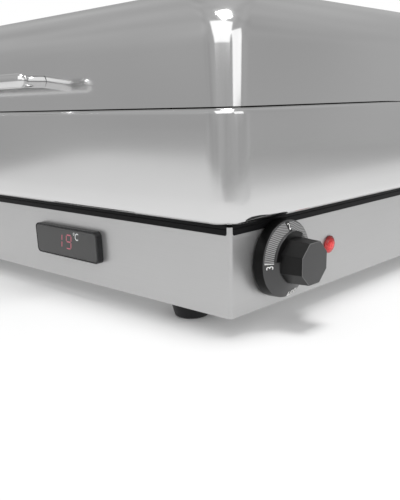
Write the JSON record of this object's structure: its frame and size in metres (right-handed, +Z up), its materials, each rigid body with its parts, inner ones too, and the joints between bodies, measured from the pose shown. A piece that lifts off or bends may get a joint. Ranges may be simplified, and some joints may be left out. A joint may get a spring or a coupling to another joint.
{
  "type": "chafing_dish",
  "caption": "Electric chafing dish with a hinged dome lid, lift-out food pan, steel water vessel and a heated base with thermostat and display",
  "frame": {"origin": "centre of the whole part's footprint, on the table under the rubber feet", "axes": "+X towards the thermostat side, -Y the front with display and lid handle, +Z up"},
  "size_m": [0.6014, 0.4378, 0.2518],
  "materials": {
    "brushed_steel": "fine satin",
    "polished_steel": "polished",
    "sheet_steel": "mill",
    "pan_steel": "satin",
    "zinc_steel": "zinc plated",
    "aluminium": "mill",
    "element_sheath": "heat darkened",
    "brass": "plain",
    "copper": "bare copper",
    "black_strip": "satin black",
    "black_plastic": "satin black",
    "bezel_plastic": "gloss black",
    "grey_print": "printed",
    "red_lens": "clear red",
    "smoked_window": "smoked",
    "white_plastic": "plain",
    "circuit_board": "green laminate",
    "led_digits": "red figures on black",
    "ceramic": "unglazed",
    "mineral_wool": "pressed fibre",
    "rubber": "matt",
    "brown_sleeve": "silicone",
    "white_sleeve": "glass braid",
    "grey_sleeve": "silicone"
  },
  "bodies": {
    "base": {"housing": "brushed_steel", "strip_front": "black_strip", "strip_right": "black_strip", "strip_rear": "black_strip", "strip_left": "black_strip", "bottom_cover": "sheet_steel", "cover_screws": "zinc_steel", "foot_front_right": "rubber", "foot_front_left": "rubber", "foot_rear_right": "rubber", "foot_rear_left": "rubber", "foot_screws": "zinc_steel", "vessel": "polished_steel", "vessel_studs": "zinc_steel", "stud_nuts": "zinc_steel", "heat_spreader": "aluminium", "heating_element": "element_sheath", "element_terminals": "brass", "element_clamps": "sheet_steel", "insulation": "mineral_wool", "heat_shield": "sheet_steel", "thermal_cutout": "ceramic", "sensing_bulb": "copper", "bulb_clip": "sheet_steel", "capillary": "copper", "thermostat_body": "zinc_steel", "thermostat_screws": "zinc_steel", "lamp_lens": "red_lens", "lamp_body": "white_plastic", "display_housing": "bezel_plastic", "display_window": "smoked_window", "display_board": "circuit_board", "display_digits": "led_digits", "display_clips": "sheet_steel", "display_probe": "sheet_steel", "power_inlet": "bezel_plastic", "inlet_pins": "brass", "inlet_screws": "zinc_steel", "terminal_block": "white_plastic", "earth_bolt": "zinc_steel", "supply_leads": "brown_sleeve", "heater_leads": "white_sleeve", "signal_leads": "grey_sleeve", "lid_bumpers": "rubber", "hinge_bracket_left": "brushed_steel", "hinge_bracket_right": "brushed_steel", "hinge_pins": "zinc_steel", "bracket_rivets": "zinc_steel"},
    "lid": {"lid": "polished_steel", "lid_handle": "polished_steel", "handle_posts": "polished_steel", "handle_screws": "zinc_steel", "lid_arm_left": "brushed_steel", "lid_arm_right": "brushed_steel", "arm_rivets": "zinc_steel"},
    "knob": {"knob": "black_plastic", "knob_scale": "grey_print", "knob_clip": "sheet_steel", "thermostat_shaft": "zinc_steel"},
    "pan": {"food_pan": "pan_steel"}
  },
  "joints": [
    {"name": "lid_hinge", "type": "hinge", "parent": "base", "child": "lid", "pos_m": [-0.01365, 0.21188, 0.173], "axis": [-1, 0, 0], "range_deg": [0, 90]},
    {"name": "knob_turn", "type": "hinge", "parent": "base", "child": "knob", "pos_m": [0.26435, -0.12342, 0.0527], "axis": [1, 0, 0], "range_deg": [-90, 180]},
    {"name": "pan_lift", "type": "slide", "parent": "base", "child": "pan", "axis": [0, 0, 1], "range_m": [0, 0.055]}
  ]
}
